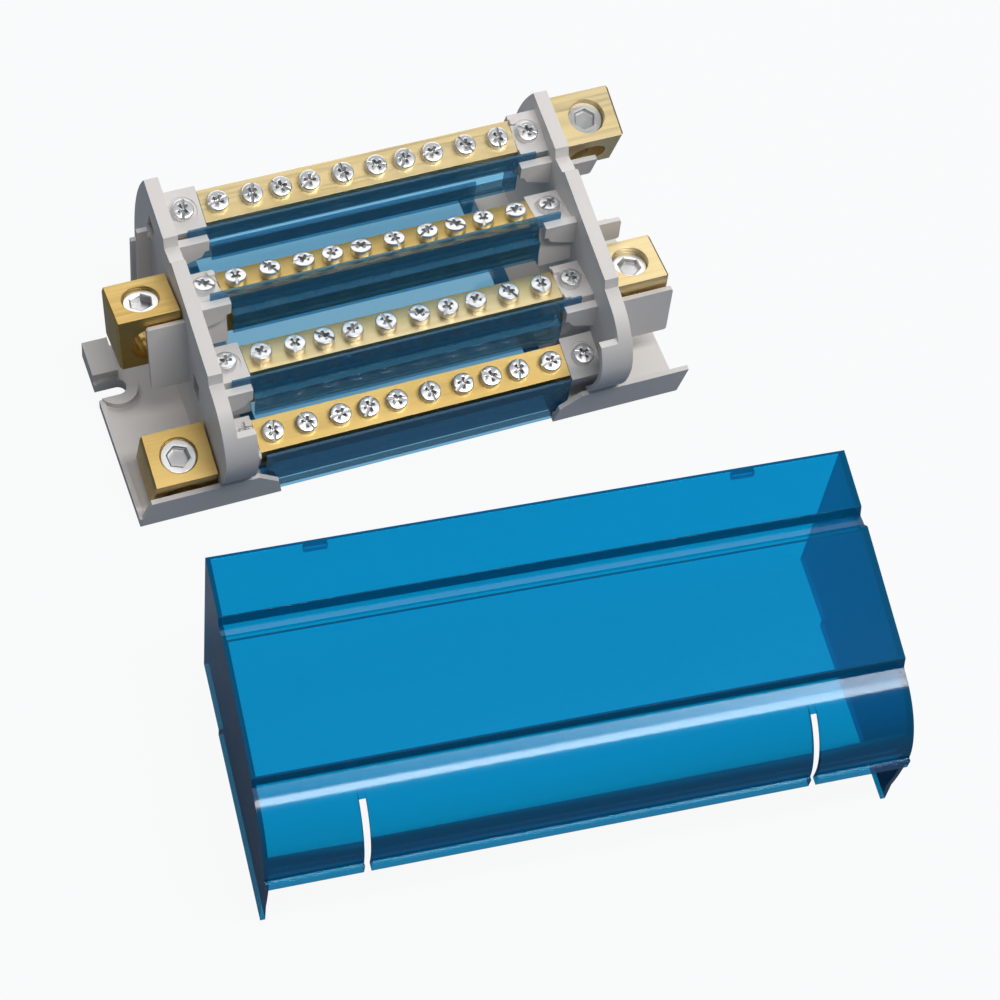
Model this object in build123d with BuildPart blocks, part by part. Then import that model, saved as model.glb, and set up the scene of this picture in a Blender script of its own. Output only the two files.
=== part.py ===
from build123d import *
from collections import namedtuple
from math import cos, radians, sin
import os

# Four-pole distribution block with its cover lifted off and laid in front of it.
# Sizes are millimetres. The origin is on the underside, midway between the two fixing slots.
# X runs along the busbars, Y to the back and Z up.

# Poles, from the back to the front: number, side of the terminal, middle of the bar's top, tilt
Pole = namedtuple("Pole", "number side y z tilt")
POLES = (
    Pole(1, 1, 22.1, 58.0, 16.0),
    Pole(2, -1, -1.1, 48.8, -12.0),
    Pole(3, 1, -23.7, 39.4, -4.0),
    Pole(4, -1, -40.5, 21.5, 15.0),
)

# Busbar
bar_width = 10.8
bar_height = 15.0
bar_shoulder = 50.5
neck_shoulder = 51.8
tail_drop = 1.8
tail_recess = 3.4
wire_hole_depth = 9.0
wire_hole_diameters = (7.2, 5.5, 5.5, 5.5, 7.2, 5.5, 5.5, 5.5, 8.5, 8.5)
first_screw = 45.3
screw_gaps = (10.9, 9.3, 9.3, 10.9, 10.9, 9.3, 9.3, 10.9, 10.9)

# Terminal block at one end of each bar
terminal_gap = 0.65
terminal_length = 20.0
terminal_depth = 17.4
terminal_shift = 0.4
terminal_height = 19.0
terminal_rise = 2.0
terminal_edge = 0.7
wire_bore = 12.0
wire_bore_roof = 5.0

# Set screw in the terminal
set_screw_diameter = 11.6
set_screw_recesses = (2.3, 1.3, 2.3, 1.3)
set_screw_tip_gap = 0.2
set_screw_socket = 6.0
set_screw_web = 0.8
set_screw_chamfer = 0.5
set_screw_hole_gap = 0.06

# Clamp screws and fixing screws
head_diameter = 6.8
head_height = 2.6
head_slot = 1.0
head_slot_depth = 1.1
shank_diameter = 4.8
shank_length = 6.4
shank_gap = 0.08
slot_turn = 37.0
fixing_screw = 56.5

# End supports
plate_inner = 61.5
plate_thickness = 4.5
plate_back = 43.5
plate_back_top = 23.4
plate_back_bulge = (41.2, 42.9)
plate_foot_front = -47.5
roof_back = (31.5, 65.0)
roof_step_top = (10.6, 62.2)
roof_step_foot = (9.4, 58.6)
roof_dip_end = (3.5, 59.3)
roof_ridge = (2.0, 61.0)
roof_front = (-36.0, 54.0)
roof_front_foot = (-37.0, 50.4)
curve_start = (-41.0, 49.4)
curve_middle = (-50.9, 43.6)
curve_front = (-55.6, 31.0)
curve_return = (-53.6, 21.5)
curve_foot = (-49.2, 13.6)
floor_thickness = 2.4
floor_inner = 46.0
left_floor_end = 91.2
right_floor_end = 88.8
floor_front = -48.8
floor_corner = 67.6
end_ridge_width = 1.7
end_ridge_height = 1.4
slot_width = 5.8
slot_inner = 81.6
slot_collar = 3.6
slot_collar_height = 2.2
pad_inner = 83.0
pad_front = 4.4
pad_back = 17.4
pad_height = 5.0
wall = 1.6
front_wall_gap = 0.4
front_wall_tilt = 7.0
front_wall_top = -6.0
front_wall_step = -12.5
front_wall_foot = -20.2
front_wall_top_inner = 53.5
front_wall_step_inner = 46.8
front_wall_foot_inner = 45.6
left_wall_top_end = 87.8
right_wall_top_end = 90.2
seat_gap = 0.15
boss_wall = 1.6
boss_floor = 2.0
boss_recess = 0.5
boss_recess_diameter = 9.4
boss_hole_gap = 0.3
tail_window_edge = 2.6
lug_height = 1.3
lug_length = 2.2
lug_width = 2.2
lug_back = 4.5
lug_front = -5.9
lug_corner = 0.6
leg_foot = -20.2
rim_depth = 5.8
rim_thickness = 1.8
rim_top = 42.0
rim_back = -34.0
ledge_inner = 51.2
ledge_front = 3.2
ledge_back = 1.4
ledge_height = 5.0
ledge_root_height = 10.0
ledge_taper = 2.4
ledge_stop = 2.5

# Flanges outside the plates: side, pole, front (1) or back (-1), distance from the pole, top, foot, reach
Flange = namedtuple("Flange", "side pole face distance top foot reach")
FLANGES = (
    Flange(1, POLES[0], 1, 11.4, -2.0, -14.0, 77.0),
    Flange(1, POLES[2], 1, 9.2, -2.6, -22.6, 87.5),
    Flange(1, POLES[2], -1, 12.8, 7.6, -1.0, 78.0),
    Flange(-1, POLES[1], 1, 9.6, -1.5, -26.5, 78.0),
)
flange_corner = 1.0

# Ribs on the left support, behind the second terminal: front face and top
BACK_RIBS = ((24.3, 49.0), (31.7, 35.0))
rib_reach = 4.4

# Barriers in front of bars 1, 2 and 3: number, place in front of the bar behind it, lip top, fold, foot
Barrier = namedtuple("Barrier", "number y lip_top fold foot")
BARRIERS = (
    Barrier(1, POLES[0].y - bar_width / 2 - 2.3, 57.5, 50.6, 44.0),
    Barrier(2, POLES[1].y - bar_width / 2 - 2.1, 55.5, 45.0, 36.5),
    Barrier(3, POLES[2].y - bar_width / 2 - 2.7, 41.5, 32.5, 24.0),
)
sheet = 1.0
barrier_step = 2.4
barrier_end_gap = 0.45
lip_end_gap = 4.5
lip_height = 5.0
lip_gap = 0.1

# Trough under and in front of the bars
trough_end_gap = 0.45
trough_skirt_gap = 0.4
trough_lift = 0.05
trough_front = -47.1
trough_front_top = 19.4
trough_back = 40.5
trough_back_top = 12.0
trough_bend = 1.5

# Cover
cover_wall = 1.5
cover_gap = 0.6
cover_end_gap = 2.8
cover_back = 27.4
cover_foot = (-53.6, 9.5)
cover_return = (-54.9, 20.0)
cover_skirt_foot = 27.0
cover_skirt_reach = -40.0
cover_lip_height = 4.4
cover_lip_proud = 1.1
cover_notch_start = 5.0
cover_notch_height = 3.2
cover_slot = 66.0
cover_slot_width = 2.1
cover_slot_top = 49.5
cover_catch = 64.0
cover_catch_length = 7.0
cover_catch_drop = 2.45
cover_catch_root = 1.3
cover_place = (5.3, -139.1)
cover_turn = -5.7

# Worked out from the sizes above
plate_outer = plate_inner + plate_thickness
tail_end = plate_outer - tail_recess
terminal_inner = plate_outer + terminal_gap
terminal_middle = terminal_inner + terminal_length / 2
wire_bore_middle = terminal_rise - wire_bore_roof - wire_bore / 2
boss_inner = bar_shoulder + seat_gap
boss_half = bar_width / 2 + seat_gap + boss_wall
boss_foot = -(bar_height + seat_gap + boss_floor)
barrier_half = boss_inner - barrier_end_gap
lip_half = plate_inner - lip_end_gap
trough_half = boss_inner - trough_end_gap
floor_ends = {-1: left_floor_end, 1: right_floor_end}
wall_top_ends = {-1: left_wall_top_end, 1: right_wall_top_end}
cover_half = max(floor_ends.values()) + cover_end_gap + cover_wall
roof_slope = (roof_back[1] - roof_step_top[1]) / (roof_back[0] - roof_step_top[0])
catch_roof = roof_step_top[1] + roof_slope * (cover_back - roof_step_top[0]) + cover_gap

# A length that reaches past every edge of the part, and the overrun of a short cut
beyond = 3 * roof_back[1]
past = 1.0

os.makedirs("parts", exist_ok=True)


def top_plane(pole):
    """Plane of a pole's top face: X along the bar and Y to the back."""
    tilt = radians(pole.tilt)
    return Plane(origin=(0, pole.y, pole.z), x_dir=(1, 0, 0), z_dir=(0, -sin(tilt), cos(tilt)))


def front_plane(pole):
    """Plane through a pole that faces the front: X along the bar and Y up."""
    tilt = radians(pole.tilt)
    return Plane(origin=(0, pole.y, pole.z), x_dir=(1, 0, 0), z_dir=(0, -cos(tilt), -sin(tilt)))


def screw_places(side):
    """Places of the ten clamp screws along a bar, from the end away from the terminal."""
    places = [-side * first_screw]
    for gap in screw_gaps:
        places.append(places[-1] + side * gap)
    return places


def export(part, name):
    part.part.label = name
    export_step(part.part, f"parts/{name}.step")


def draw_end_plate(foot, bend):
    """Outline of an end plate, seen along the bars; the cover follows it above a foot and bend of its own."""
    with BuildLine() as outline:
        Line((foot[0], 0), foot)
        ThreePointArc(foot, bend, curve_front)
        ThreePointArc(curve_front, curve_middle, curve_start)
        Polyline(curve_start, roof_front_foot, roof_front, roof_ridge, roof_dip_end,
                 roof_step_foot, roof_step_top, roof_back)
        ThreePointArc(roof_back, plate_back_bulge, (plate_back, plate_back_top))
        Polyline((plate_back, plate_back_top), (plate_back, 0), (foot[0], 0))
    make_face(outline.line.edges())


def build_busbar(pole):
    side = pole.side
    top = top_plane(pole)
    front = front_plane(pole)
    with BuildPart() as bar:
        # Bar between its shoulders, with a lowered tail and a lowered neck
        with BuildSketch(top):
            with Locations((side * (neck_shoulder - bar_shoulder) / 2, 0)):
                Rectangle(neck_shoulder + bar_shoulder, bar_width)
        extrude(amount=-bar_height)
        with BuildSketch(top.offset(-tail_drop)):
            with Locations((side * (terminal_inner - tail_end) / 2, 0)):
                Rectangle(terminal_inner + tail_end, bar_width)
        extrude(amount=tail_drop - bar_height)
        # Terminal block
        with BuildSketch(top.offset(terminal_rise)):
            with Locations((side * terminal_middle, side * terminal_shift)):
                Rectangle(terminal_length, terminal_depth)
        extrude(amount=-terminal_height)
        chamfer(bar.faces().sort_by(Axis.X)[-1 if side > 0 else 0].edges(), terminal_edge)
        # Wire bore through the terminal, and the threaded hole above it
        with BuildSketch(front.offset(-terminal_depth)):
            with Locations((side * terminal_middle, wire_bore_middle)):
                Circle(wire_bore / 2)
        extrude(amount=2 * terminal_depth, mode=Mode.SUBTRACT)
        with BuildSketch(top.offset(terminal_rise)):
            with Locations((side * terminal_middle, side * terminal_shift)):
                Circle(set_screw_diameter / 2 + set_screw_hole_gap)
        extrude(amount=wire_bore_middle - terminal_rise, mode=Mode.SUBTRACT)
        # Wire holes across the bar
        with BuildSketch(front.offset(-bar_width)):
            for place, diameter in zip(screw_places(side), wire_hole_diameters):
                with Locations((place, -wire_hole_depth)):
                    Circle(diameter / 2)
        extrude(amount=2 * bar_width, mode=Mode.SUBTRACT)
        # Threaded holes for the clamp screws and the two fixing screws
        with BuildSketch(top):
            with Locations(*[(place, 0) for place in screw_places(side) + [-fixing_screw, fixing_screw]]):
                Circle(shank_diameter / 2 + shank_gap)
        extrude(amount=-wire_hole_depth, mode=Mode.SUBTRACT)
    export(bar, f"busbar_{pole.number}")


def build_set_screw(pole):
    recess = set_screw_recesses[pole.number - 1]
    length = wire_bore_roof - recess - set_screw_tip_gap
    screw_top = top_plane(pole).offset(terminal_rise - recess)
    middle = (pole.side * terminal_middle, pole.side * terminal_shift)
    with BuildPart() as screw:
        with BuildSketch(screw_top):
            with Locations(middle):
                Circle(set_screw_diameter / 2)
        extrude(amount=-length)
        chamfer(screw.edges().filter_by(GeomType.CIRCLE), set_screw_chamfer)
        with BuildSketch(screw_top):
            with Locations(middle):
                RegularPolygon(set_screw_socket / 2, 6, major_radius=False)
        extrude(amount=set_screw_web - length, mode=Mode.SUBTRACT)
    export(screw, f"set_screw_{pole.number}")


def draw_screws(seat, places):
    """Cheese-head screws at places along a seat plane, joined to the open part as separate solids."""
    with BuildSketch(seat) as heads:
        with Locations(*[(place, 0) for place in places]):
            Circle(head_diameter / 2)
    extrude(heads.sketch, amount=head_height)
    with BuildSketch(seat) as shanks:
        with Locations(*[(place, 0) for place in places]):
            Circle(shank_diameter / 2)
    extrude(shanks.sketch, amount=-shank_length)
    with BuildSketch(seat.offset(head_height)) as slots:
        for index, place in enumerate(places):
            with Locations((place, 0)):
                Rectangle(head_diameter + past, head_slot, rotation=slot_turn * index)
    extrude(slots.sketch, amount=-head_slot_depth, mode=Mode.SUBTRACT)


def build_clamp_screws(pole):
    with BuildPart() as screws:
        draw_screws(top_plane(pole), screw_places(pole.side))
    export(screws, f"clamp_screws_{pole.number}")


def build_fixing_screws():
    with BuildPart() as screws:
        for pole in POLES:
            draw_screws(top_plane(pole).offset(-boss_recess), (-fixing_screw, fixing_screw))
    export(screws, "fixing_screws")


def box_across(front, across, up, out, mode=Mode.ADD):
    """Block on a pole's front plane; across, up and out are its ends along X, up and to the front."""
    with BuildSketch(front.offset(out[0])) as face:
        with Locations(((across[0] + across[1]) / 2, (up[0] + up[1]) / 2)):
            Rectangle(abs(across[1] - across[0]), abs(up[1] - up[0]))
    extrude(face.sketch, amount=out[1] - out[0], mode=mode)


def boss_span(side, pole):
    """Ends along X of the boss in which a bar's tail or neck lies."""
    shoulder = neck_shoulder if pole.side == side else bar_shoulder
    return side * (shoulder + seat_gap), side * plate_outer


def add_bosses(side):
    """Boss round each bar's tail or neck, with two lugs beside the screw of a neck."""
    for pole in POLES:
        front = front_plane(pole)
        across = boss_span(side, pole)
        box_across(front, across, (boss_foot, 0), (-boss_half, boss_half))
        if pole.side == side:
            with BuildSketch(top_plane(pole).offset(-seat_gap)) as lugs:
                middle = across[0] + side * lug_length / 2
                with Locations((middle, lug_back), (middle, lug_front)):
                    RectangleRounded(lug_length, lug_width, lug_corner)
            extrude(lugs.sketch, amount=lug_height + seat_gap)
    # Legs of the lowest boss
    legs = boss_span(side, POLES[-1])
    for out in ((-boss_half, boss_wall - boss_half), (boss_half - boss_wall, boss_half)):
        box_across(front_plane(POLES[-1]), legs, (leg_foot, boss_foot + past), out)


def cut_bosses(side):
    """Tunnel for each tail or neck, the recess and hole of its screw, and the window behind a tail."""
    half = bar_width / 2 + seat_gap
    foot = -(bar_height + seat_gap)
    roof = seat_gap - tail_drop
    for pole in POLES:
        front = front_plane(pole)
        tail = pole.side != side
        inner = boss_span(side, pole)[0] - side * past
        outer = side * (tail_end + seat_gap) if tail else side * (plate_outer + past)
        box_across(front, (inner, outer), (foot, roof), (-half, half), Mode.SUBTRACT)
        if tail:
            box_across(front, (outer, side * (plate_outer + past)),
                       (foot + tail_window_edge, roof - tail_window_edge),
                       (tail_window_edge - half, half - tail_window_edge), Mode.SUBTRACT)
        with BuildSketch(top_plane(pole)) as recess:
            with Locations((side * fixing_screw, 0)):
                Circle(boss_recess_diameter / 2)
        extrude(recess.sketch, amount=-boss_recess, mode=Mode.SUBTRACT)
        with BuildSketch(top_plane(pole)) as hole:
            with Locations((side * fixing_screw, 0)):
                Circle(shank_diameter / 2 + boss_hole_gap)
        extrude(hole.sketch, amount=-(tail_drop + past), mode=Mode.SUBTRACT)


def add_ledges(side):
    """Ledge with a stop in front of it for each end of a barrier's lip."""
    for barrier in BARRIERS:
        seat = barrier.lip_top - lip_height - lip_gap
        with BuildSketch(Plane.XZ.offset(-(barrier.y + ledge_back))) as ledge:
            with BuildLine():
                Polyline((side * ledge_inner, seat), (side * plate_outer, seat),
                         (side * plate_outer, seat - ledge_root_height),
                         (side * (ledge_inner + ledge_taper), seat - ledge_height), close=True)
            make_face()
        extrude(ledge.sketch, amount=ledge_front + ledge_back)
        with BuildSketch(Plane.XZ.offset(-(barrier.y - sheet / 2 - lip_gap))) as stop:
            with Locations((side * (ledge_inner + plate_outer) / 2, seat)):
                Rectangle(plate_outer - ledge_inner, 2 * ledge_stop)
        extrude(stop.sketch, amount=ledge_front - sheet / 2 - lip_gap)


def add_floor(side):
    """Tray floor with its open fixing slot and raised pad, and an end ridge on the left."""
    end = floor_ends[side]
    slot_end = side * (slot_inner + slot_width / 2)
    with BuildSketch() as floor:
        with Locations((side * (floor_inner + end) / 2, (floor_front + pad_back) / 2)):
            Rectangle(end - floor_inner, pad_back - floor_front)
        with Locations((side * (floor_inner + floor_corner) / 2, (floor_front + plate_back) / 2)):
            Rectangle(floor_corner - floor_inner, plate_back - floor_front)
    extrude(floor.sketch, amount=floor_thickness)
    if side < 0:
        with BuildSketch(Plane.XY.offset(floor_thickness)) as ridge:
            with Locations((side * (end - end_ridge_width / 2), (floor_front + pad_back) / 2)):
                Rectangle(end_ridge_width, pad_back - floor_front)
        extrude(ridge.sketch, amount=end_ridge_height)
    with BuildSketch(Plane.XY.offset(floor_thickness)) as pad:
        with Locations((side * (end + pad_inner) / 2, (pad_front + pad_back) / 2)):
            Rectangle(end - pad_inner, pad_back - pad_front)
    extrude(pad.sketch, amount=pad_height)
    with BuildSketch(Plane.XY.offset(floor_thickness)) as collar:
        with Locations((slot_end, 0)):
            Circle(slot_width / 2 + slot_collar)
        with Locations((side * (end - beyond / 2), 0)):
            Rectangle(beyond, beyond, mode=Mode.INTERSECT)
    extrude(collar.sketch, amount=slot_collar_height)
    with BuildSketch() as slot:
        with Locations((slot_end, 0)):
            Circle(slot_width / 2)
        with Locations(((slot_end + side * end) / 2, 0)):
            Rectangle(end - slot_inner - slot_width / 2, slot_width)
    extrude(slot.sketch, amount=2 * pad_height, mode=Mode.SUBTRACT)


def add_front_wall(side):
    """Leaning wall along the front of the tray, clear of the lowest terminal."""
    near = terminal_depth / 2 + terminal_shift + front_wall_gap
    leaning = POLES[-1]._replace(tilt=front_wall_tilt)
    with BuildSketch(front_plane(leaning).offset(near)) as front_wall:
        with BuildLine():
            Polyline((side * front_wall_foot_inner, front_wall_foot),
                     (side * floor_ends[side], front_wall_foot),
                     (side * wall_top_ends[side], front_wall_top),
                     (side * front_wall_top_inner, front_wall_top),
                     (side * front_wall_step_inner, front_wall_step), close=True)
        make_face()
    extrude(front_wall.sketch, amount=wall)


def add_flanges(side):
    """Insulating flanges between the terminals, and the left support's back ribs."""
    for flange in FLANGES:
        if flange.side == side:
            with BuildSketch(front_plane(flange.pole).offset(flange.face * flange.distance)) as face:
                with Locations((side * (plate_inner + flange.reach) / 2, (flange.top + flange.foot) / 2)):
                    RectangleRounded(flange.reach - plate_inner, flange.top - flange.foot, flange_corner)
            extrude(face.sketch, amount=flange.face * wall)
    if side < 0:
        for front_face, top in BACK_RIBS:
            with BuildSketch(Plane.XZ.offset(-(front_face + wall))) as rib:
                with Locations((side * (plate_inner + plate_outer + rib_reach) / 2, top / 2)):
                    Rectangle(plate_thickness + rib_reach, top)
            extrude(rib.sketch, amount=wall)


def build_support(side, name):
    with BuildPart() as support:
        with BuildSketch(Plane.YZ.offset(side * plate_inner)) as plate:
            draw_end_plate(curve_foot, curve_return)
            with Locations((plate_foot_front - beyond / 2, curve_foot[1] / 2)):
                Rectangle(beyond, curve_foot[1], mode=Mode.SUBTRACT)
        extrude(plate.sketch, amount=side * plate_thickness)
        # Rim along the front of the plate, on its inner side
        with BuildSketch(Plane.YZ.offset(side * (plate_inner - rim_depth))) as rim:
            draw_end_plate(curve_foot, curve_return)
            offset(amount=-rim_thickness, kind=Kind.INTERSECTION, mode=Mode.SUBTRACT)
            with Locations((rim_back - beyond / 2, (rim_top + curve_foot[1]) / 2)):
                Rectangle(beyond, rim_top - curve_foot[1], mode=Mode.INTERSECT)
        extrude(rim.sketch, amount=side * rim_depth)
        add_floor(side)
        add_front_wall(side)
        add_bosses(side)
        add_ledges(side)
        add_flanges(side)
        cut_bosses(side)
    export(support, name)


def build_barrier(barrier):
    with BuildPart() as sheet_part:
        with BuildSketch(Plane.YZ):
            with BuildLine():
                Polyline((barrier.y, barrier.lip_top), (barrier.y, barrier.fold),
                         (barrier.y - barrier_step, barrier.fold), (barrier.y - barrier_step, barrier.foot))
            trace(line_width=sheet)
        extrude(amount=barrier_half, both=True)
        with BuildSketch(Plane.YZ):
            with Locations((barrier.y, barrier.lip_top - lip_height / 2)):
                Rectangle(sheet, lip_height)
        extrude(amount=lip_half, both=True)
    export(sheet_part, f"barrier_{barrier.number}")


def build_trough():
    floor = floor_thickness + trough_lift + sheet / 2
    with BuildPart() as trough:
        with BuildSketch(Plane.YZ):
            with BuildLine():
                FilletPolyline((trough_front, trough_front_top), (trough_front, floor),
                               (trough_back, floor), (trough_back, trough_back_top), radius=trough_bend)
            trace(line_width=sheet)
        extrude(amount=trough_half, both=True)
        # Front skirt that hangs between the floors of the two supports
        with BuildSketch(Plane.YZ):
            with Locations((trough_front, (floor + trough_bend) / 2)):
                Rectangle(sheet, floor + trough_bend)
        extrude(amount=floor_inner - trough_skirt_gap, both=True)
    export(trough, "trough")


def build_cover():
    turn = radians(cover_turn)
    along = (cos(turn), sin(turn), 0)
    section = Plane(origin=(*cover_place, 0), x_dir=(-sin(turn), cos(turn), 0), z_dir=along)
    plan = Plane(origin=(*cover_place, 0), x_dir=along, z_dir=(0, 0, 1))
    with BuildPart() as cover:
        with BuildSketch(section.offset(-cover_half)):
            draw_end_plate(cover_foot, cover_return)
            offset(amount=cover_gap + cover_wall, kind=Kind.INTERSECTION)
        extrude(amount=2 * cover_half)
        # Lip along the front edge
        with BuildSketch(section.offset(-cover_half)):
            draw_end_plate(cover_foot, cover_return)
            offset(amount=cover_gap + cover_wall + cover_lip_proud, kind=Kind.INTERSECTION)
            with Locations((cover_skirt_reach - beyond / 2, cover_skirt_foot + cover_lip_height / 2)):
                Rectangle(beyond, cover_lip_height, mode=Mode.INTERSECT)
        extrude(amount=2 * cover_half)
        # Hollow, open below
        with BuildSketch(section.offset(cover_wall - cover_half)):
            draw_end_plate(cover_foot, cover_return)
            offset(amount=cover_gap, kind=Kind.INTERSECTION)
        extrude(amount=2 * (cover_half - cover_wall), mode=Mode.SUBTRACT)
        # Open back, level foot and the raised part of the end walls' foot
        with BuildSketch(section.offset(-beyond)):
            with Locations((cover_back + beyond / 2, beyond / 2)):
                Rectangle(beyond, 2 * beyond)
            with Locations((0, -beyond / 2)):
                Rectangle(2 * beyond, beyond)
            with Locations((cover_notch_start + beyond / 2, 0)):
                Rectangle(beyond, 2 * cover_notch_height)
        extrude(amount=2 * beyond, mode=Mode.SUBTRACT)
        # The front wall ends at the lip; only the end walls reach the ground
        with BuildSketch(section.offset(cover_wall - cover_half)):
            with Locations((cover_skirt_reach - beyond / 2, cover_skirt_foot / 2)):
                Rectangle(beyond, cover_skirt_foot)
        extrude(amount=2 * (cover_half - cover_wall), mode=Mode.SUBTRACT)
        # Two slots that let the middle of the front wall flex
        with BuildSketch(plan):
            middle = cover_skirt_reach - beyond / 2
            with Locations((-cover_slot, middle), (cover_slot, middle)):
                Rectangle(cover_slot_width, beyond)
        extrude(amount=cover_slot_top, mode=Mode.SUBTRACT)
        # Catches under the back edge
        with BuildSketch(plan.offset(catch_roof - cover_catch_drop)):
            middle = cover_back - cover_wall / 2
            with Locations((-cover_catch, middle), (cover_catch, middle)):
                Rectangle(cover_catch_length, cover_wall)
        extrude(amount=cover_catch_drop + cover_catch_root)
    export(cover, "cover")


for each_pole in POLES:
    build_busbar(each_pole)
    build_set_screw(each_pole)
    build_clamp_screws(each_pole)
build_fixing_screws()
build_support(-1, "left_support")
build_support(1, "right_support")
for each_barrier in BARRIERS:
    build_barrier(each_barrier)
build_trough()
build_cover()
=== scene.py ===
import math
from functools import partial

import bmesh
import bpy
from bpy.props import FloatProperty, FloatVectorProperty, PointerProperty
from mathutils import Matrix, Vector


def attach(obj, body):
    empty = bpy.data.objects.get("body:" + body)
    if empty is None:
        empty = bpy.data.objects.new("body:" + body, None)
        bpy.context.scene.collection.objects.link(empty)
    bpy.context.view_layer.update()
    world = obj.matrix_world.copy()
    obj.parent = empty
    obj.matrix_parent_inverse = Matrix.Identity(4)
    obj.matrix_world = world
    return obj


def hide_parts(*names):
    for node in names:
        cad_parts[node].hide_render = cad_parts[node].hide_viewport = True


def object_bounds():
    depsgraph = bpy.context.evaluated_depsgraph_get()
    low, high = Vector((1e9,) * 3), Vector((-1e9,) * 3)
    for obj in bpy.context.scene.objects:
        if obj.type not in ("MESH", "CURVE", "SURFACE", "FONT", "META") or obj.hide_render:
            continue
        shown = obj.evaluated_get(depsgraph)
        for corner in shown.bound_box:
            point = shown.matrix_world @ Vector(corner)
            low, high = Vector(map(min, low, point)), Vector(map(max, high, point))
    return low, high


bl_info = {
    "name": "Four-Pole Distribution Block",
    "version": (1, 0, 0),
    "blender": (4, 5, 0),
    "location": "3D View > Sidebar > Block",
    "description": "Dresses the distribution block's busbars, screws, supports, barriers and cover",
    "category": "Object",
}

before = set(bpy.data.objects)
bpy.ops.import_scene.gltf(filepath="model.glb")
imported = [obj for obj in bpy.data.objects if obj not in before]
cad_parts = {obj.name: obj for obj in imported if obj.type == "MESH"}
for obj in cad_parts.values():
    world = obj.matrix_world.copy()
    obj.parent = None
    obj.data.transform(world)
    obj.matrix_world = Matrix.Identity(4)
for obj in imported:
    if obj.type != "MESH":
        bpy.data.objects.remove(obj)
cad_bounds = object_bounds()

MM = 0.001

# Places of the poles: number, terminal side, middle of the bar's top (y, z) in millimetres, tilt in degrees
POLES = (
    (1, 1, 22.1, 58.0, 16.0),
    (2, -1, -1.1, 48.8, -12.0),
    (3, 1, -23.7, 39.4, -4.0),
    (4, -1, -40.5, 21.5, 15.0),
)

# Screws along a bar, in millimetres: the first clamp screw's distance from the middle, the gaps to the next
# ones, the fixing screws' distance from the middle and the height of their seats over the bar's top
FIRST_SCREW = 45.3
SCREW_GAPS = (10.9, 9.3, 9.3, 10.9, 10.9, 9.3, 9.3, 10.9, 10.9)
FIXING_SCREW = 56.5
FIXING_DROP = -0.5

# How deep the four set screws stand below the tops of their terminals, in millimetres
SET_SCREW_RECESSES = (2.3, 1.3, 2.3, 1.3)

# Turns of the screw heads, in degrees, as they happen to stand
HEAD_TURNS = (12, 75, 140, 33, 98, 160, 55, 8, 120, 82, 27, 150)

# Mesh work: weld distance, and the angles over which an edge is rounded or stays sharp
WELD = 0.002 * MM
ROUNDED_FROM = math.radians(32)
SHARP_FROM = math.radians(30)

# White paper seen straight on: its brightness, and the share that the object's shadow leaves
PAPER_GLOW = 1.08
PAPER_SHARE = 0.86

# Light: a warm white from the lamps and a pale blue from the sky
LAMP_COLOUR = (1.0, 0.975, 0.94)
SKY_COLOUR = (0.70, 0.85, 1.0)


# Materials

def new_material(name):
    material = bpy.data.materials.new(name)
    material.use_nodes = True
    return material, material.node_tree.nodes, material.node_tree.links


def noise(nodes, links, coordinate, scale, detail=3.0, stretch=(1, 1, 1), roughness=0.5):
    """Noise in the object's own coordinates, stretched along its axes."""
    mapping = nodes.new("ShaderNodeMapping")
    mapping.inputs["Scale"].default_value = stretch
    texture = nodes.new("ShaderNodeTexNoise")
    texture.inputs["Scale"].default_value = scale
    texture.inputs["Detail"].default_value = detail
    texture.inputs["Roughness"].default_value = roughness
    links.new(coordinate, mapping.inputs["Vector"])
    links.new(mapping.outputs["Vector"], texture.inputs["Vector"])
    return texture.outputs["Fac"]


def spread(nodes, links, value, low, high):
    """Maps a noise value on to a range."""
    remap = nodes.new("ShaderNodeMapRange")
    remap.inputs["From Min"].default_value = 0.3
    remap.inputs["From Max"].default_value = 0.7
    remap.inputs["To Min"].default_value = low
    remap.inputs["To Max"].default_value = high
    links.new(value, remap.inputs["Value"])
    return remap.outputs["Result"]


def mix_colours(nodes, links, value, first, second):
    mix = nodes.new("ShaderNodeMix")
    mix.data_type = "RGBA"
    mix.inputs["A"].default_value = (*first, 1)
    mix.inputs["B"].default_value = (*second, 1)
    links.new(value, mix.inputs["Factor"])
    return mix.outputs["Result"]


def arithmetic(nodes, links, operation, first, second=None):
    """One step of arithmetic on numbers and on the outputs of nodes."""
    step = nodes.new("ShaderNodeMath")
    step.operation = operation
    for slot, value in enumerate((first, second)):
        if isinstance(value, (int, float)):
            step.inputs[slot].default_value = value
        elif value is not None:
            links.new(value, step.inputs[slot])
    return step.outputs[0]


def mix_shaders(nodes, links, share, first, second):
    """Mixes two shaders; the share of the second is a number or the output of a node."""
    mix = nodes.new("ShaderNodeMixShader")
    if isinstance(share, float):
        mix.inputs["Fac"].default_value = share
    else:
        links.new(share, mix.inputs["Fac"])
    links.new(first.outputs[0], mix.inputs[1])
    links.new(second.outputs[0], mix.inputs[2])
    return mix


def bump(nodes, links, value, strength, distance):
    relief = nodes.new("ShaderNodeBump")
    relief.inputs["Strength"].default_value = strength
    relief.inputs["Distance"].default_value = distance
    links.new(value, relief.inputs["Height"])
    return relief.outputs["Normal"]


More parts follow.
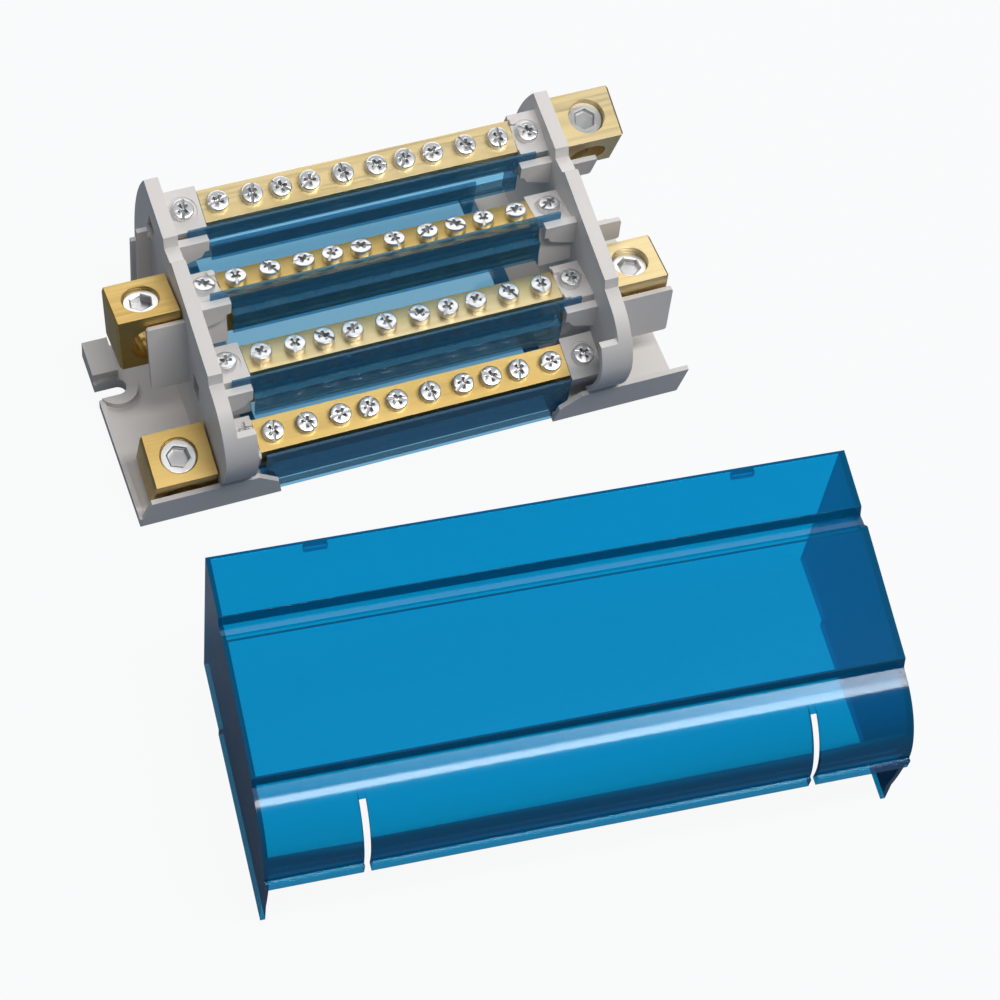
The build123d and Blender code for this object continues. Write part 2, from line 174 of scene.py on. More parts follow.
def cut_thread(nodes, links, coordinate, hole, sizes):
    """Height of a thread cut in the wall of a hole, whose matrix has Z along the hole's axis."""
    to_hole = hole.inverted()
    mapping = nodes.new("ShaderNodeMapping")
    mapping.inputs["Rotation"].default_value = to_hole.to_euler("XYZ")
    mapping.inputs["Location"].default_value = to_hole.translation
    links.new(coordinate, mapping.inputs["Vector"])
    axes = nodes.new("ShaderNodeSeparateXYZ")
    links.new(mapping.outputs["Vector"], axes.inputs["Vector"])
    formula = partial(arithmetic, nodes, links)
    x, y, z = axes.outputs
    angle = formula("ARCTAN2", y, x)
    climb = formula("MULTIPLY", z, 2 * math.pi / sizes.thread_pitch)
    wave = formula("SINE", formula("ADD", climb, angle))
    radius = formula("SQRT", formula("ADD", formula("MULTIPLY", x, x), formula("MULTIPLY", y, y)))
    inside = formula("LESS_THAN", radius, sizes.thread_reach)
    return formula("MULTIPLY", formula("ADD", wave, 1.0), inside)


def brushed_brass(name, colour, dark, sizes, hole):
    """Drawn and brushed brass, with a faint tarnish and a thread in the terminal's hole."""
    roughness = sizes.roughness
    material, nodes, links = new_material(name)
    surface = nodes["Principled BSDF"]
    place = nodes.new("ShaderNodeTexCoord").outputs["Object"]
    streaks = noise(nodes, links, place, scale=1100, stretch=(0.02, 1, 0.4), roughness=0.6)
    tarnish = noise(nodes, links, place, scale=60, stretch=(0.35, 1, 1))
    tone = arithmetic(nodes, links, "MULTIPLY", spread(nodes, links, tarnish, 0.1, 1.0),
                      spread(nodes, links, streaks, 0.55, 1.0))
    links.new(mix_colours(nodes, links, tone, colour, dark), surface.inputs["Base Color"])
    links.new(spread(nodes, links, streaks, roughness - 0.06, roughness + 0.1), surface.inputs["Roughness"])
    brushed = bump(nodes, links, streaks, strength=0.35, distance=0.03 * MM)
    threaded = nodes.new("ShaderNodeBump")
    threaded.inputs["Distance"].default_value = sizes.thread_depth
    links.new(cut_thread(nodes, links, place, hole, sizes), threaded.inputs["Height"])
    links.new(brushed, threaded.inputs["Normal"])
    links.new(threaded.outputs["Normal"], surface.inputs["Normal"])
    surface.inputs["Metallic"].default_value = 1.0
    return material


def plated_steel(name, colour, roughness):
    """Zinc-plated steel with small tool marks."""
    material, nodes, links = new_material(name)
    surface = nodes["Principled BSDF"]
    place = nodes.new("ShaderNodeTexCoord").outputs["Object"]
    marks = noise(nodes, links, place, scale=2600, detail=2)
    cloud = noise(nodes, links, place, scale=180, detail=2)
    links.new(mix_colours(nodes, links, spread(nodes, links, cloud, 0.0, 0.35), colour,
                          tuple(0.78 * c for c in colour)), surface.inputs["Base Color"])
    links.new(spread(nodes, links, cloud, roughness - 0.04, roughness + 0.06), surface.inputs["Roughness"])
    links.new(bump(nodes, links, marks, strength=0.05, distance=0.01 * MM), surface.inputs["Normal"])
    surface.inputs["Metallic"].default_value = 1.0
    return material


def moulded_plastic(name, colour, roughness):
    """Warm grey moulding with a fine spark-eroded skin."""
    material, nodes, links = new_material(name)
    surface = nodes["Principled BSDF"]
    place = nodes.new("ShaderNodeTexCoord").outputs["Object"]
    skin = noise(nodes, links, place, scale=2200, detail=2)
    flow = noise(nodes, links, place, scale=40)
    links.new(mix_colours(nodes, links, spread(nodes, links, flow, 0.0, 1.0), colour,
                          tuple(0.94 * c for c in colour)), surface.inputs["Base Color"])
    links.new(spread(nodes, links, flow, roughness - 0.05, roughness + 0.07), surface.inputs["Roughness"])
    links.new(bump(nodes, links, skin, strength=0.15, distance=0.03 * MM), surface.inputs["Normal"])
    return material


def clear_blue(name, sizes):
    """Tinted clear plastic: a see-through tint, a little body colour and a glossy skin."""
    material, nodes, links = new_material(name)
    body = nodes["Principled BSDF"]
    place = nodes.new("ShaderNodeTexCoord").outputs["Object"]
    flow = noise(nodes, links, place, scale=30, stretch=(0.2, 1, 1))
    dust = noise(nodes, links, place, scale=900, detail=2)
    tint = nodes.new("ShaderNodeBsdfTransparent")
    colour = tuple(sizes.colour)
    links.new(mix_colours(nodes, links, spread(nodes, links, flow, 0.0, 1.0), colour,
                          tuple(0.96 * c for c in colour)), tint.inputs["Color"])
    body.inputs["Base Color"].default_value = (*sizes.body, 1)
    body.inputs["Roughness"].default_value = 0.6
    body.inputs["Specular IOR Level"].default_value = 0.0
    relief = bump(nodes, links, flow, strength=0.04, distance=0.2 * MM)
    skin = nodes.new("ShaderNodeBsdfGlossy")
    links.new(spread(nodes, links, dust, sizes.roughness, sizes.roughness + 0.04), skin.inputs["Roughness"])
    links.new(relief, skin.inputs["Normal"])
    inner = mix_shaders(nodes, links, sizes.haze, tint, body)
    glance = nodes.new("ShaderNodeFresnel")
    glance.inputs["IOR"].default_value = 1.49
    polish = arithmetic(nodes, links, "MULTIPLY", glance.outputs[0], sizes.polish)
    outer = mix_shaders(nodes, links, polish, inner, skin)
    links.new(outer.outputs[0], nodes["Material Output"].inputs["Surface"])
    return material


# Mesh helpers

def smooth_by_angle():
    """Geometry nodes that shade smooth and keep sharp edges sharp."""
    group = bpy.data.node_groups.get("smooth_faces")
    if group:
        return group
    group = bpy.data.node_groups.new("smooth_faces", "GeometryNodeTree")
    group.interface.new_socket("Geometry", in_out="INPUT", socket_type="NodeSocketGeometry")
    group.interface.new_socket("Geometry", in_out="OUTPUT", socket_type="NodeSocketGeometry")
    start = group.nodes.new("NodeGroupInput")
    end = group.nodes.new("NodeGroupOutput")
    angle = group.nodes.new("GeometryNodeInputMeshEdgeAngle")
    compare = group.nodes.new("FunctionNodeCompare")
    compare.operation = "LESS_EQUAL"
    compare.inputs[1].default_value = SHARP_FROM
    faces = group.nodes.new("GeometryNodeSetShadeSmooth")
    edges = group.nodes.new("GeometryNodeSetShadeSmooth")
    edges.domain = "EDGE"
    group.links.new(start.outputs[0], faces.inputs["Geometry"])
    group.links.new(faces.outputs["Geometry"], edges.inputs["Geometry"])
    group.links.new(angle.outputs["Unsigned Angle"], compare.inputs[0])
    group.links.new(compare.outputs["Result"], edges.inputs["Shade Smooth"])
    group.links.new(edges.outputs["Geometry"], end.inputs[0])
    return group


def soften(thing, radius):
    """Welds a tessellated solid, rounds its sharp edges and shades it."""
    weld = thing.modifiers.new("weld", "WELD")
    weld.merge_threshold = WELD
    if radius > 0:
        bevel = thing.modifiers.new("rounded_edges", "BEVEL")
        bevel.width = radius
        bevel.segments = 2
        bevel.limit_method = "ANGLE"
        bevel.angle_limit = ROUNDED_FROM
        bevel.use_clamp_overlap = True
    shade = thing.modifiers.new("smooth", "NODES")
    shade.node_group = smooth_by_angle()
    flat = thing.modifiers.new("flat_faces", "WEIGHTED_NORMAL")
    flat.keep_sharp = True
    flat.weight = 100


def paint(thing, material):
    """Gives an object one material in place of those it has."""
    for place in range(max(1, len(thing.material_slots))):
        if place >= len(thing.material_slots):
            thing.data.materials.append(material)
        thing.material_slots[place].link = "OBJECT"
        thing.material_slots[place].material = material


def finish_node(name, material, radius):
    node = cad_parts[name]
    paint(node, material)
    soften(node, radius)


def pole_frame(y, z, tilt):
    """Matrix of a pole's top face, in metres: X along the bar, Y to the back, Z up from the face."""
    return Matrix.Translation((0, y * MM, z * MM)) @ Matrix.Rotation(math.radians(tilt), 4, "X")


def new_object(name, bm, material):
    mesh = bpy.data.meshes.new(name)
    bm.to_mesh(mesh)
    bm.free()
    thing = bpy.data.objects.new(name, mesh)
    bpy.context.scene.collection.objects.link(thing)
    thing.data.materials.append(material)
    return thing


def turned(profile, segments):
    """Solid of revolution about Z from (radius, height) points, from the axis out and back to it."""
    bm = bmesh.new()
    rings = []
    for radius, height in profile:
        if radius == 0:
            rings.append([bm.verts.new((0, 0, height))])
        else:
            rings.append([bm.verts.new((radius * math.cos(2 * math.pi * i / segments),
                                        radius * math.sin(2 * math.pi * i / segments), height))
                          for i in range(segments)])
    for low, high in zip(rings, rings[1:]):
        for i in range(segments):
            j = (i + 1) % segments
            if len(low) == 1:
                bm.faces.new((low[0], high[i], high[j]))
            elif len(high) == 1:
                bm.faces.new((low[i], high[0], low[j]))
            else:
                bm.faces.new((low[i], high[i], high[j], low[j]))
    bmesh.ops.recalc_face_normals(bm, faces=bm.faces)
    return bm


def prism(points, low, high, taper=1.0):
    """Straight prism over (x, y) points; its foot is scaled by taper."""
    bm = bmesh.new()
    foot = [bm.verts.new((x * taper, y * taper, low)) for x, y in points]
    top = [bm.verts.new((x, y, high)) for x, y in points]
    bm.faces.new(foot[::-1])
    bm.faces.new(top)
    count = len(points)
    for i in range(count):
        j = (i + 1) % count
        bm.faces.new((foot[i], foot[j], top[j], top[i]))
    bmesh.ops.recalc_face_normals(bm, faces=bm.faces)
    return bm


def bar_points(length, width, turn=0.0):
    """Corners of a rectangle about the middle, turned by an angle in radians."""
    cosine, sine = math.cos(turn), math.sin(turn)
    corners = [(x * length / 2, y * width / 2) for x, y in ((-1, -1), (1, -1), (1, 1), (-1, 1))]
    return [(x * cosine - y * sine, x * sine + y * cosine) for x, y in corners]


def carve(body, tools):
    """Cuts closed tool meshes from a body mesh and returns the result as a mesh."""
    thing = bpy.data.objects.new("carving", bpy.data.meshes.new("carving"))
    body.to_mesh(thing.data)
    body.free()
    bpy.context.scene.collection.objects.link(thing)
    knives = []
    for number, tool in enumerate(tools):
        knife = bpy.data.objects.new("knife", bpy.data.meshes.new("knife"))
        tool.to_mesh(knife.data)
        tool.free()
        bpy.context.scene.collection.objects.link(knife)
        cut = thing.modifiers.new(f"cut_{number}", "BOOLEAN")
        cut.operation = "DIFFERENCE"
        cut.solver = "EXACT"
        cut.object = knife
        knives.append(knife)
    bpy.context.view_layer.update()
    result = bpy.data.meshes.new_from_object(thing.evaluated_get(bpy.context.evaluated_depsgraph_get()))
    for used in [thing, *knives]:
        bpy.data.objects.remove(used)
    return result


def screw_places(side):
    places = [-side * FIRST_SCREW]
    for gap in SCREW_GAPS:
        places.append(places[-1] + side * gap)
    return places


def screw_frame(x, z, turn):
    """Matrix of a screw on a pole's top face: place along the bar, height of its seat and turn in degrees."""
    return Matrix.Translation((x * MM, 0, z * MM)) @ Matrix.Rotation(math.radians(turn), 4, "Z")


def screw_mesh(sizes):
    """One cheese-head screw with a slot and a cross recess, standing on its seat at the origin."""
    radius = sizes.head_diameter / 2
    height = sizes.head_height
    edge = sizes.head_edge
    shank = sizes.shank_diameter / 2
    length = sizes.shank_length
    profile = ((0, -length), (shank * 0.8, -length), (shank, -length + shank * 0.2), (shank, 0),
               (radius - 0.1 * MM, 0), (radius, 0.12 * MM), (radius, height - edge),
               (radius - 0.3 * edge, height - 0.3 * edge), (radius - edge, height), (0, height + 0.08 * MM))
    body = turned(profile, segments=40)
    slot = prism(bar_points(2.4 * radius, sizes.slot_width), height - sizes.slot_depth, height + MM)
    arm = sizes.cross_width
    foot = height - sizes.cross_depth
    cross = [prism(bar_points(sizes.cross_span, arm, math.radians(turn)), foot, height + 0.2 * MM, taper=0.45)
             for turn in (45, 135)]
    return mark_shaded_recess(carve(body, [slot, *cross]), within=radius - 0.2 * MM, low=0.2 * MM,
                       high=height - 0.12 * MM)


def set_screw_mesh(sizes, length):
    """Flat-point set screw with a hexagon socket; its top is at the origin."""
    radius = sizes.diameter / 2
    edge = sizes.chamfer
    rim = radius - edge
    profile = ((0, -length), (rim, -length), (radius, -length + edge), (radius, -edge), (rim, 0), (0, 0))
    body = turned(profile, segments=64)
    across = sizes.socket / math.sqrt(3)
    corners = [math.radians(60 * i) for i in range(6)]
    points = [(across * math.cos(corner), across * math.sin(corner)) for corner in corners]
    lead = [(1.16 * x, 1.16 * y) for x, y in points]
    hexagon = prism(points, sizes.web - length, MM)
    mouth = prism(lead, -0.35 * MM, 0.02 * MM, taper=0.86)
    return mark_shaded_recess(carve(body, [hexagon, mouth]), within=0.8 * radius, low=0.1 * MM - length,
                       high=-0.3 * MM)


def mark_shaded_recess(mesh, within, low, high):
    """Gives the faces of a recess, near the axis and between two heights, the second material, whose darker
    plating is painted shade.
    """
    for face in mesh.polygons:
        x, y, z = face.center
        if math.hypot(x, y) < within and low < z < high:
            face.material_index = 1
    return mesh


def place_copies(name, mesh, matrices, material):
    """One object that holds a copy of a mesh at each matrix."""
    bm = bmesh.new()
    for matrix in matrices:
        copy = mesh.copy()
        copy.transform(matrix)
        bm.from_mesh(copy)
        bpy.data.meshes.remove(copy)
    return new_object(name, bm, material)


# Sizes and colours

class BrassSettings(bpy.types.PropertyGroup):
    colour: FloatVectorProperty(name="Brass", description="Colour of clean brass", subtype="COLOR", size=3,
                                min=0, max=1, default=(0.80, 0.67, 0.41))
    dark: FloatVectorProperty(name="Tarnish", description="Colour of its darker patches", subtype="COLOR",
                              size=3, min=0, max=1, default=(0.78, 0.60, 0.27))
    # The golden colours are the same brass as poles 1 and 3 drawn darker: painted shade on poles 2 and 4,
    # with real tarnish patches in it.
    shaded_golden: FloatVectorProperty(name="Golden", description="Colour of the deeper brass of poles 2 and 4",
                                subtype="COLOR", size=3, min=0, max=1, default=(0.72, 0.52, 0.20))
    shaded_golden_tarnish: FloatVectorProperty(name="Golden tarnish", description="Colour of its darker patches",
                                     subtype="COLOR", size=3, min=0, max=1, default=(0.56, 0.38, 0.12))
    roughness: FloatProperty(name="Roughness", description="Roughness of the brushed faces", min=0, max=1,
                             default=0.4, subtype="FACTOR")
    edge: FloatProperty(name="Edge", description="Radius of the broken edges", default=0.25 * MM,
                        unit="LENGTH")
    thread_reach: FloatProperty(name="Thread reach", description="Radius within which the thread is cut",
                                default=5.95 * MM, unit="LENGTH")
    thread_depth: FloatProperty(name="Thread depth", description="Half the height of the thread's relief",
                                default=0.3 * MM, unit="LENGTH")
    thread_pitch: FloatProperty(name="Thread pitch", description="Distance between two turns of the thread",
                                default=0.8 * MM, unit="LENGTH")


class ScrewSettings(bpy.types.PropertyGroup):
    colour: FloatVectorProperty(name="Zinc", description="Colour of the plating", subtype="COLOR", size=3,
                                min=0, max=1, default=(0.86, 0.865, 0.87))
    # The recess colour is a darker plating for slots and sockets: painted shade in the recesses.
    recess: FloatVectorProperty(name="Recess", description="Colour of the plating inside slots and sockets",
                                subtype="COLOR", size=3, min=0, max=1, default=(0.62, 0.62, 0.63))
    roughness: FloatProperty(name="Roughness", description="Roughness of the plating", min=0, max=1,
                             default=0.33, subtype="FACTOR")
    head_diameter: FloatProperty(name="Head", description="Diameter of the head", default=6.8 * MM,
                                 unit="LENGTH")
    head_height: FloatProperty(name="Head height", description="Height of the head", default=2.6 * MM,
                               unit="LENGTH")
    head_edge: FloatProperty(name="Head edge", description="Rounding of the head's top edge",
                             default=0.5 * MM, unit="LENGTH")
    shank_diameter: FloatProperty(name="Shank", description="Diameter of the shank", default=4.8 * MM,
                                  unit="LENGTH")
    shank_length: FloatProperty(name="Shank length", description="Length under the head", default=6.4 * MM,
                                unit="LENGTH")
    slot_width: FloatProperty(name="Slot", description="Width of the slot", default=0.9 * MM, unit="LENGTH")
    slot_depth: FloatProperty(name="Slot depth", description="Depth of the slot", default=0.8 * MM,
                              unit="LENGTH")
    cross_span: FloatProperty(name="Cross", description="Span of the cross recess", default=3.9 * MM,
                              unit="LENGTH")
    cross_width: FloatProperty(name="Cross arm", description="Width of an arm of the recess",
                               default=1.1 * MM, unit="LENGTH")
    cross_depth: FloatProperty(name="Cross depth", description="Depth of the recess", default=1.7 * MM,
                               unit="LENGTH")
    edge: FloatProperty(name="Edge", description="Radius of the broken edges", default=0.06 * MM,
                        unit="LENGTH")


class SetScrewSettings(bpy.types.PropertyGroup):
    diameter: FloatProperty(name="Diameter", description="Outer diameter", default=11.6 * MM, unit="LENGTH")
    tip_depth: FloatProperty(name="Tip", description="Depth of the tip below the terminal's top",
                             default=4.8 * MM, unit="LENGTH")
    chamfer: FloatProperty(name="Chamfer", description="Chamfer of both ends", default=0.5 * MM,
                           unit="LENGTH")
    socket: FloatProperty(name="Socket", description="Width across the flats", default=6.0 * MM,
                          unit="LENGTH")
    web: FloatProperty(name="Web", description="Metal left below the socket", default=0.8 * MM,
                       unit="LENGTH")
    terminal_rise: FloatProperty(name="Rise", description="Height of the terminal above the bar",
                                 default=2.0 * MM, unit="LENGTH")
    middle: FloatProperty(name="Middle", description="Distance of the terminal from the block's middle",
                          default=76.65 * MM, unit="LENGTH")
    shift: FloatProperty(name="Shift", description="Shift of the terminal across the bar", default=0.4 * MM,
                         unit="LENGTH")
    edge: FloatProperty(name="Edge", description="Radius of the broken edges", default=0.08 * MM,
                        unit="LENGTH")


class MouldingSettings(bpy.types.PropertyGroup):
    colour: FloatVectorProperty(name="Grey", description="Colour of the supports", subtype="COLOR", size=3,
                                min=0, max=1, default=(0.80, 0.77, 0.755))
    roughness: FloatProperty(name="Roughness", description="Roughness of the moulding", min=0, max=1,
                             default=0.5, subtype="FACTOR")
    edge: FloatProperty(name="Edge", description="Radius of the moulded edges", default=0.3 * MM,
                        unit="LENGTH")


class SheetSettings(bpy.types.PropertyGroup):
    colour: FloatVectorProperty(name="Blue", description="Tint of one face of a barrier or of the trough",
                                subtype="COLOR", size=3, min=0, max=1, default=(0.54, 0.83, 0.98))
    body: FloatVectorProperty(name="Body", description="Colour of the sheet's own haze", subtype="COLOR",
                              size=3, min=0, max=1, default=(0.10, 0.40, 0.72))
    haze: FloatProperty(name="Haze", description="Share of the sheet's own colour", min=0, max=1,
                        default=0.2, subtype="FACTOR")
    roughness: FloatProperty(name="Roughness", description="Roughness of the sheet", min=0, max=1,
                             default=0.05, subtype="FACTOR")
    polish: FloatProperty(name="Polish", description="Share of the mirrored light kept", min=0, max=1,
                          default=0.8, subtype="FACTOR")
    edge: FloatProperty(name="Edge", description="Radius of the sheet's edges", default=0.15 * MM,
                        unit="LENGTH")


class CoverSettings(bpy.types.PropertyGroup):
    colour: FloatVectorProperty(name="Blue", description="Tint of the cover", subtype="COLOR", size=3,
                                min=0, max=1, default=(0.0, 0.70, 0.94))
    body: FloatVectorProperty(name="Body", description="Colour of the cover's own haze", subtype="COLOR",
                              size=3, min=0, max=1, default=(0.0, 0.23, 0.55))
    haze: FloatProperty(name="Haze", description="Share of the cover's own colour", min=0, max=1,
                        default=0.38, subtype="FACTOR")
    roughness: FloatProperty(name="Roughness", description="Roughness of the cover", min=0, max=1,
                             default=0.1, subtype="FACTOR")
    polish: FloatProperty(name="Polish", description="Share of the mirrored light kept", min=0, max=1,
                          default=1.0, subtype="FACTOR")
    edge: FloatProperty(name="Edge", description="Radius of the cover's edges", default=0.4 * MM,
                        unit="LENGTH")


class StageSettings(bpy.types.PropertyGroup):
    floor: FloatVectorProperty(name="Floor", description="Colour of the floor and backdrop",
                               subtype="COLOR", size=3, min=0, max=1, default=(0.20, 0.24, 0.30))
    paper: FloatVectorProperty(name="Paper", description="Colour of the floor under the block",
                               subtype="COLOR", size=3, min=0, max=1, default=(0.85, 0.87, 0.9))
    footprint: FloatVectorProperty(name="Footprint",
                                   description="Half the length and depth of the block's middle",
                                   subtype="TRANSLATION", size=2, default=(0.064, 0.046))
    footprint_fade: FloatProperty(name="Footprint fade", description="Width of the footprint's soft edge",
                                  default=6 * MM, unit="LENGTH")
    # Less glow under the block is a painted shadow in a fixed patch; the real shade of the lit paper shows
    # through it.
    glow_below: FloatProperty(name="Glow below", description="Share of white paper under the block",
                              min=0, max=1, default=0.75, subtype="FACTOR")
    floor_size: FloatProperty(name="Floor size", description="Side of the floor", default=6.0,
                              unit="LENGTH")
    floor_gap: FloatProperty(name="Floor gap", description="Distance of the floor below the block",
                             default=0.2 * MM, unit="LENGTH")
    sky: FloatProperty(name="Sky", description="Strength of the world light", default=0.15)
    key: FloatProperty(name="Key", description="Power of the wide lamp behind", default=5.4)
    strip: FloatProperty(name="Strip", description="Power of the long lamp overhead", default=7.6)
    eye: FloatVectorProperty(name="Camera", description="Place of the camera", subtype="TRANSLATION",
                             size=3, default=(-0.2089, -0.4901, 0.7625))
    right: FloatVectorProperty(name="Right", description="Direction to the right of the picture",
                               subtype="XYZ", size=3, default=(0.93590, -0.33955, 0.09378))
    up: FloatVectorProperty(name="Up", description="Direction to the top of the picture", subtype="XYZ",
                            size=3, default=(0.24434, 0.81751, 0.52152))
    lens: FloatProperty(name="Lens", description="Focal length", default=102.7, subtype="DISTANCE_CAMERA")


class BlockSettings(bpy.types.PropertyGroup):
    brass: PointerProperty(type=BrassSettings)
    screw: PointerProperty(type=ScrewSettings)
    set_screw: PointerProperty(type=SetScrewSettings)
    moulding: PointerProperty(type=MouldingSettings)
    sheet: PointerProperty(type=SheetSettings)
    cover: PointerProperty(type=CoverSettings)
    stage: PointerProperty(type=StageSettings)


# Operators

class BLOCK_OT_busbars(bpy.types.Operator):
    """Finish the four brass busbars"""
    bl_idname = "block.busbars"
    bl_label = "Busbars"

    def execute(self, context):
        sizes = context.scene.block.brass
        place = context.scene.block.set_screw
        # Poles 1 and 3 get the pale brass as lit, poles 2 and 4 a darker golden copy: painted light and shade
        # on one brass.
        lit_and_shaded_tones = {1: ("lit_pale_brass", sizes.colour, sizes.dark),
                 -1: ("shaded_golden_brass", sizes.shaded_golden, sizes.shaded_golden_tarnish)}
        for number, side, y, z, tilt in POLES:
            name, colour, dark = lit_and_shaded_tones[side]
            middle = Matrix.Translation((side * place.middle, side * place.shift, 0))
            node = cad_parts[f"busbar_{number}"]
            hole = node.matrix_world.inverted() @ pole_frame(y, z, tilt) @ middle
            brass = brushed_brass(f"{name}_{number}", tuple(colour), tuple(dark), sizes, hole)
            finish_node(f"busbar_{number}", brass, sizes.edge)
        return {"FINISHED"}


class BLOCK_OT_clamp_screws(bpy.types.Operator):
    """Make the clamp screws and the fixing screws"""
    bl_idname = "block.clamp_screws"
    bl_label = "Clamp screws"

    def execute(self, context):
        sizes = context.scene.block.screw
        zinc = plated_steel("zinc_plating", tuple(sizes.colour), sizes.roughness)
        # The darker recess plating paints the shade inside the slots and cross recesses.
        recess = plated_steel("recess_shade_zinc", tuple(sizes.recess), sizes.roughness)
        mesh = screw_mesh(sizes)
        fixing = []
        for number, side, y, z, tilt in POLES:
            pole = pole_frame(y, z, tilt)
            matrices = [pole @ screw_frame(x, 0, turn) for x, turn in zip(screw_places(side), HEAD_TURNS)]
            screws = place_copies(f"cross_head_clamp_screws_{number}", mesh, matrices, zinc)
            self.seat(screws, f"clamp_screws_{number}", recess, sizes.edge)
            for x, turn in zip((-FIXING_SCREW, FIXING_SCREW), HEAD_TURNS[number:]):
                fixing.append(pole @ screw_frame(x, FIXING_DROP, turn))
        screws = place_copies("cross_head_fixing_screws", mesh, fixing, zinc)
        self.seat(screws, "fixing_screws", recess, sizes.edge)
        return {"FINISHED"}

    @staticmethod
    def seat(screws, node, recess, edge):
        # Second material: the painted shade of the recesses.
        screws.data.materials.append(recess)
        soften(screws, edge)
        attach(screws, "block")
        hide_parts(node)


class BLOCK_OT_set_screws(bpy.types.Operator):
    """Make the four hexagon-socket set screws"""
    bl_idname = "block.set_screws"
    bl_label = "Set screws"

    def execute(self, context):
        sizes = context.scene.block.set_screw
        finish = context.scene.block.screw
        steel = plated_steel("bright_zinc", tuple(finish.colour), finish.roughness)
        # The darker socket plating paints the shade inside the hexagon socket.
        socket = plated_steel("socket_shade_zinc", tuple(finish.recess), finish.roughness)
        for number, side, y, z, tilt in POLES:
            recess = SET_SCREW_RECESSES[number - 1] * MM
            mesh = set_screw_mesh(sizes, sizes.tip_depth - recess)
            place = pole_frame(y, z, tilt) @ Matrix.Translation(
                (side * sizes.middle, side * sizes.shift, sizes.terminal_rise - recess))
            turn = Matrix.Rotation(math.radians(HEAD_TURNS[number]), 4, "Z")
            screw = place_copies(f"socket_set_screw_{number}", mesh, [place @ turn], steel)
            screw.data.materials.append(socket)
            soften(screw, sizes.edge)
            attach(screw, f"set_screw_{number}")
            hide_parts(f"set_screw_{number}")
        return {"FINISHED"}


class BLOCK_OT_supports(bpy.types.Operator):
    """Finish the two grey end supports"""
    bl_idname = "block.supports"
    bl_label = "End supports"

    def execute(self, context):
        sizes = context.scene.block.moulding
        grey = moulded_plastic("grey_moulding", tuple(sizes.colour), sizes.roughness)
        for name in ("left_support", "right_support"):
            finish_node(name, grey, sizes.edge)
        return {"FINISHED"}


class BLOCK_OT_sheets(bpy.types.Operator):
    """Finish the clear blue barriers and the trough"""
    bl_idname = "block.sheets"
    bl_label = "Barriers and trough"

    def execute(self, context):
        sizes = context.scene.block.sheet
        blue = clear_blue("clear_blue_sheet", sizes)
        for name in ("barrier_1", "barrier_2", "barrier_3", "trough"):
            finish_node(name, blue, sizes.edge)
        return {"FINISHED"}


class BLOCK_OT_cover(bpy.types.Operator):
    """Finish the clear blue cover"""
    bl_idname = "block.cover"
    bl_label = "Cover"

    def execute(self, context):
        sizes = context.scene.block.cover
        blue = clear_blue("clear_blue_cover", sizes)
        finish_node("cover", blue, sizes.edge)
        return {"FINISHED"}


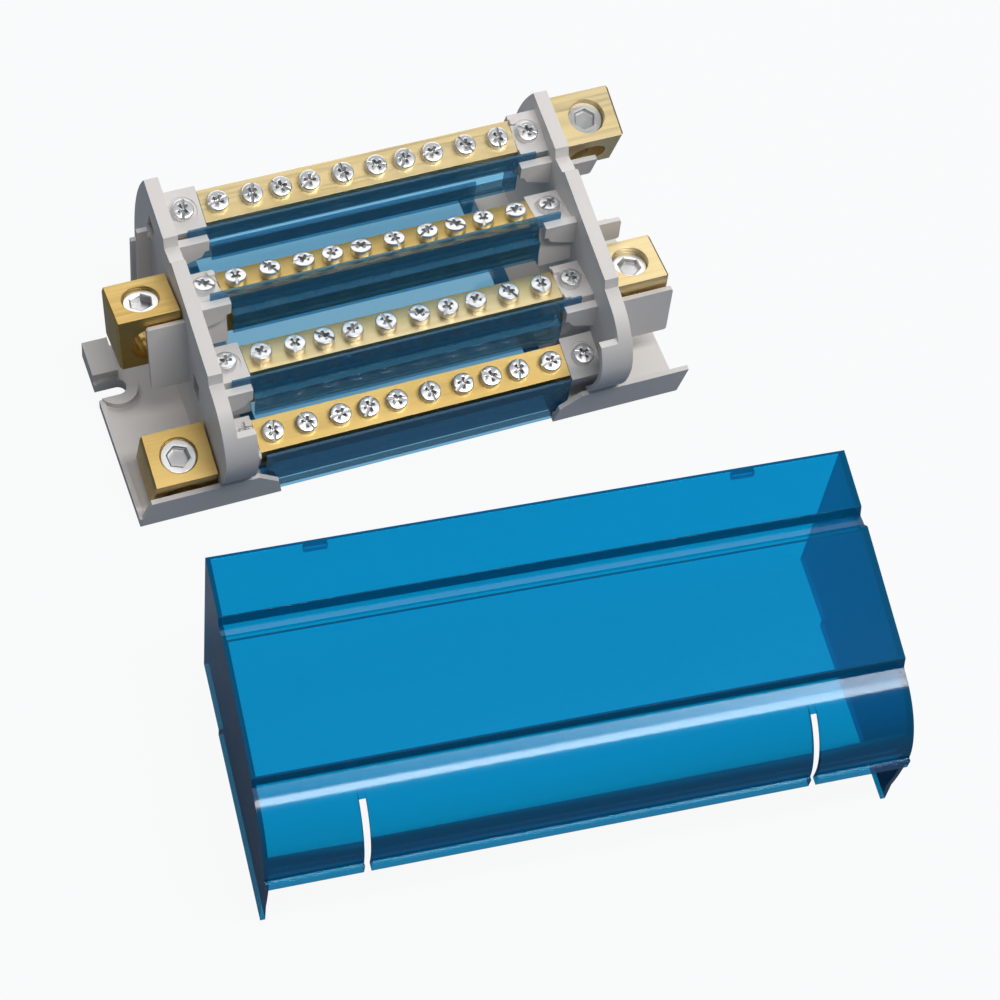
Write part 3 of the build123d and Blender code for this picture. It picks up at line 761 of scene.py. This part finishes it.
class BLOCK_OT_stage(bpy.types.Operator):
    """Make the floor, the lamps and the camera"""
    bl_idname = "block.stage"
    bl_label = "Stage"

    def execute(self, context):
        sizes = context.scene.block.stage
        self.floor(sizes)
        self.world(context, sizes)
        middle = (cad_bounds[0] + cad_bounds[1]) / 2
        self.lamp("lamp_key", middle + Vector((0.1, 0.72, 0.62)), middle, (1.6, 0.75), sizes.key)
        self.lamp("lamp_strip", middle + Vector((0.25, -0.3, 1.02)), middle, (0.9, 0.18), sizes.strip)
        self.camera(context, sizes)
        context.scene.view_settings.view_transform = "Standard"
        return {"FINISHED"}

    @staticmethod
    def floor(sizes):
        bm = bmesh.new()
        bmesh.ops.create_grid(bm, x_segments=4, y_segments=4, size=sizes.floor_size / 2)
        material, nodes, links = new_material("pale_floor")
        surface = nodes["Principled BSDF"]
        place = nodes.new("ShaderNodeTexCoord").outputs["Object"]
        # Share of white paper: full outside the block's footprint, and less under it, a painted shadow in a
        # fixed patch through which the real shade of the lit paper shows
        axes = nodes.new("ShaderNodeSeparateXYZ")
        links.new(place, axes.inputs["Vector"])
        formula = partial(arithmetic, nodes, links)
        fades = []
        for axis, reach in zip("XY", sizes.footprint):
            fade = nodes.new("ShaderNodeMapRange")
            fade.inputs["From Min"].default_value = reach - sizes.footprint_fade
            fade.inputs["From Max"].default_value = reach
            fade.inputs["To Min"].default_value = sizes.glow_below
            links.new(formula("ABSOLUTE", axes.outputs[axis]), fade.inputs["Value"])
            fades.append(fade.outputs["Result"])
        outside = formula("MAXIMUM", *fades)
        links.new(mix_colours(nodes, links, outside, tuple(sizes.paper), tuple(sizes.floor)),
                  surface.inputs["Base Color"])
        grain = noise(nodes, links, place, scale=300, detail=2)
        links.new(spread(nodes, links, grain, 0.85, 0.95), surface.inputs["Roughness"])
        surface.inputs["Specular IOR Level"].default_value = 0.0
        # Seen straight on, the floor is white paper with the object's shadow left on it
        glow = nodes.new("ShaderNodeEmission")
        glow.inputs["Color"].default_value = (1, 1, 1, 1)
        glow.inputs["Strength"].default_value = PAPER_GLOW
        seen = nodes.new("ShaderNodeLightPath")
        direct = formula("MAXIMUM", seen.outputs["Is Camera Ray"], seen.outputs["Is Transmission Ray"])
        share = formula("MULTIPLY", formula("MULTIPLY", outside, direct), PAPER_SHARE)
        mix = mix_shaders(nodes, links, share, surface, glow)
        links.new(mix.outputs[0], nodes["Material Output"].inputs["Surface"])
        floor = new_object("floor", bm, material)
        floor.location.z = -sizes.floor_gap

    @staticmethod
    def world(context, sizes):
        world = bpy.data.worlds.new("studio")
        world.use_nodes = True
        nodes, links = world.node_tree.nodes, world.node_tree.links
        sky = nodes["Background"]
        sky.inputs["Color"].default_value = (*SKY_COLOUR, 1)
        sky.inputs["Strength"].default_value = sizes.sky
        white = nodes.new("ShaderNodeBackground")
        white.inputs["Strength"].default_value = 1.0
        seen = nodes.new("ShaderNodeLightPath")
        mix = mix_shaders(nodes, links, seen.outputs["Is Camera Ray"], sky, white)
        links.new(mix.outputs[0], nodes["World Output"].inputs["Surface"])
        context.scene.world = world

    @staticmethod
    def lamp(name, place, target, size, power):
        light = bpy.data.lights.new(name, "AREA")
        light.shape = "RECTANGLE"
        light.size, light.size_y = size
        light.energy = power
        light.color = LAMP_COLOUR
        lamp = bpy.data.objects.new(name, light)
        # The lamp's long side stays level along X while it looks at the target
        back = (place - target).normalized()
        across = (Vector((1, 0, 0)) - back.x * back).normalized()
        turn = Matrix((across, back.cross(across), back)).transposed()
        lamp.matrix_world = Matrix.Translation(place) @ turn.to_4x4()
        bpy.context.scene.collection.objects.link(lamp)

    @staticmethod
    def camera(context, sizes):
        data = bpy.data.cameras.new("camera")
        data.lens = sizes.lens
        data.sensor_width = 36.0
        camera = bpy.data.objects.new("camera", data)
        right, up = Vector(sizes.right), Vector(sizes.up)
        back = right.cross(up)
        turn = Matrix((right, up, back)).transposed()
        camera.matrix_world = Matrix.Translation(sizes.eye) @ turn.to_4x4()
        context.scene.collection.objects.link(camera)
        context.scene.camera = camera


class BLOCK_PT_panel(bpy.types.Panel):
    """Steps that dress the block"""
    bl_idname = "BLOCK_PT_panel"
    bl_label = "Distribution Block"
    bl_space_type = "VIEW_3D"
    bl_region_type = "UI"
    bl_category = "Block"

    def draw(self, context):
        for step in STEPS:
            self.layout.operator(step.bl_idname)


SETTINGS = (BrassSettings, ScrewSettings, SetScrewSettings, MouldingSettings, SheetSettings, CoverSettings,
            StageSettings, BlockSettings)
STEPS = (BLOCK_OT_busbars, BLOCK_OT_clamp_screws, BLOCK_OT_set_screws, BLOCK_OT_supports, BLOCK_OT_sheets,
         BLOCK_OT_cover, BLOCK_OT_stage)


def register():
    for part in (*SETTINGS, *STEPS, BLOCK_PT_panel):
        bpy.utils.register_class(part)
    bpy.types.Scene.block = PointerProperty(type=BlockSettings)


def unregister():
    del bpy.types.Scene.block
    for part in reversed((*SETTINGS, *STEPS, BLOCK_PT_panel)):
        bpy.utils.unregister_class(part)


def main():
    register()
    for step in STEPS:
        group, name = step.bl_idname.split(".")
        getattr(getattr(bpy.ops, group), name)()


if __name__ == "__main__":
    main()
